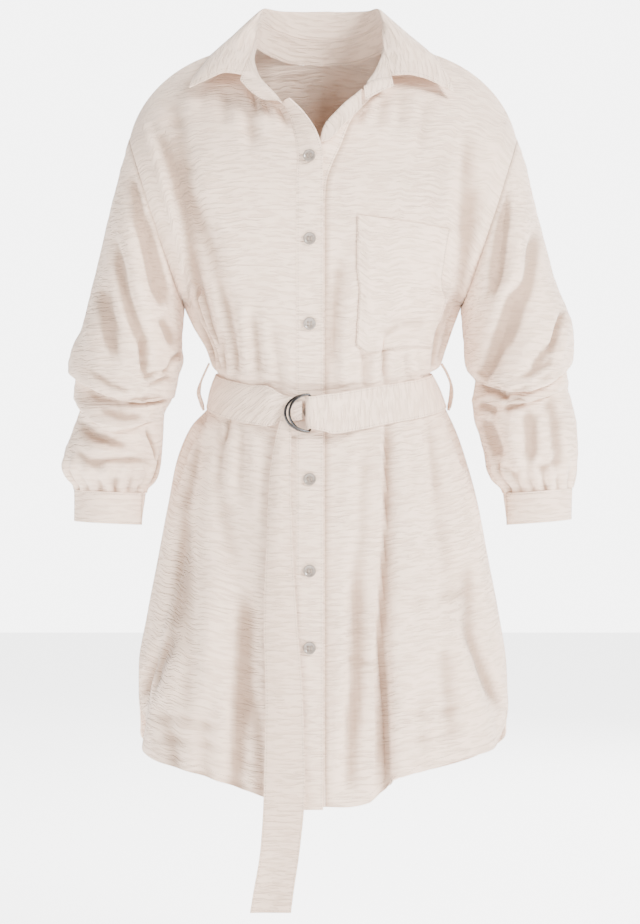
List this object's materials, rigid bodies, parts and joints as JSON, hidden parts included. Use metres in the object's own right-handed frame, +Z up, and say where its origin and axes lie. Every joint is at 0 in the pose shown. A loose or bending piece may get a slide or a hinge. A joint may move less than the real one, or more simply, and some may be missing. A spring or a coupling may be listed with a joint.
{
  "type": "shirt dress",
  "caption": "Belted shirt dress with a wide skirt, worn form: button front, open collar, bloused sleeves with cuffs, chest pocket and a belt drawn through D-rings.",
  "frame": {"origin": "midway between the wearer's shoulders, level with the base of the neck", "axes": "+Z up, the front faces -Y, the wearer's left is +X"},
  "size_m": [0.5958, 0.2795, 1.0266],
  "materials": {
    "front_right": "matt crinkled weave",
    "front_left": "matt crinkled weave",
    "back": "matt crinkled weave",
    "pocket": "matt crinkled weave",
    "band_right": "matt crinkled weave",
    "band_left": "matt crinkled weave",
    "collar_stand": "matt crinkled weave",
    "collar": "matt crinkled weave",
    "sleeve_right": "matt crinkled weave",
    "sleeve_left": "matt crinkled weave",
    "cuff_right": "matt crinkled weave",
    "cuff_left": "matt crinkled weave",
    "belt_waist": "matt crinkled weave",
    "belt_tail": "matt crinkled weave",
    "loop_right": "matt crinkled weave",
    "loop_left": "matt crinkled weave",
    "ring_1": "dark gunmetal, satin",
    "ring_2": "dark gunmetal, satin",
    "button_1": "pearly, low gloss",
    "button_2": "pearly, low gloss",
    "button_3": "pearly, low gloss",
    "button_4": "pearly, low gloss",
    "button_5": "pearly, low gloss",
    "button_6": "pearly, low gloss",
    "button_7": "pearly, low gloss"
  },
  "bodies": {
    "root": {"front_right": "front_right", "front_left": "front_left", "back": "back", "pocket": "pocket", "band_right": "band_right", "band_left": "band_left", "collar_stand": "collar_stand", "collar": "collar", "sleeve_right": "sleeve_right", "sleeve_left": "sleeve_left", "cuff_right": "cuff_right", "cuff_left": "cuff_left", "belt_waist": "belt_waist", "belt_tail": "belt_tail", "loop_right": "loop_right", "loop_left": "loop_left", "ring_1": "ring_1", "ring_2": "ring_2", "button_1": "button_1", "button_2": "button_2", "button_3": "button_3", "button_4": "button_4", "button_5": "button_5", "button_6": "button_6", "button_7": "button_7"}
  },
  "joints": []
}
